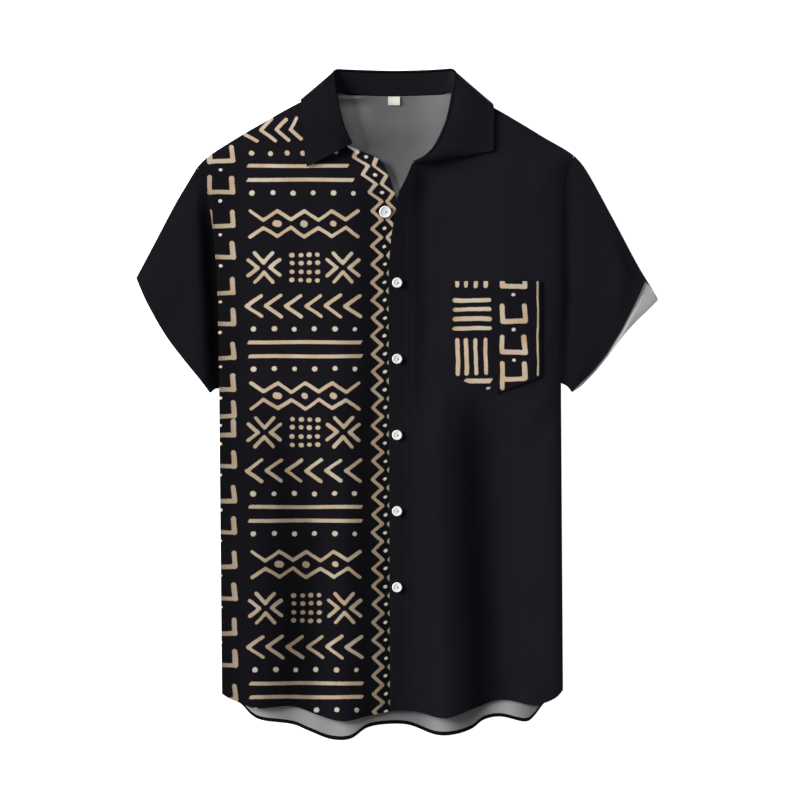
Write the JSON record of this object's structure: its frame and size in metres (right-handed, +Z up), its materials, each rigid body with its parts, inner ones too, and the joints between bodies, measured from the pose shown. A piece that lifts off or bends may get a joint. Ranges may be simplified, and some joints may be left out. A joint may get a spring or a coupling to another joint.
{
  "type": "short-sleeve shirt laid flat",
  "caption": "Short-sleeve button-up shirt laid flat, front up: one front and the chest pocket printed in a tan geometric band pattern on black, the rest plain black, with a turned-down collar.",
  "frame": {"origin": "on the surface the shirt lies on, under the middle of its laid-out outline", "axes": "+X to the wearer's left, +Y from the hem to the collar, +Z up from the surface through the front"},
  "size_m": [0.6253, 0.8047, 0.0183],
  "materials": {
    "plain_cloth": "plain black woven shirting with a soft, slightly silky surface",
    "printed_cloth": "black woven shirting printed with tan geometric bands",
    "plain_cloth_wrong_side": "grey wrong side of the black shirting, dull",
    "buttons": "pearly white, polished",
    "label_tape": "off-white woven tape, bare"
  },
  "bodies": {
    "root": {"back": "plain_cloth_wrong_side", "front_right_printed": "printed_cloth", "front_left_plain": "plain_cloth", "sleeve_right": "plain_cloth", "sleeve_left": "plain_cloth", "collar_stand": "plain_cloth", "collar_fall": "plain_cloth", "pocket": "printed_cloth", "neck_label": "label_tape", "button_1": "buttons", "button_2": "buttons", "button_3": "buttons", "button_4": "buttons", "button_5": "buttons", "button_6": "buttons"}
  },
  "joints": []
}
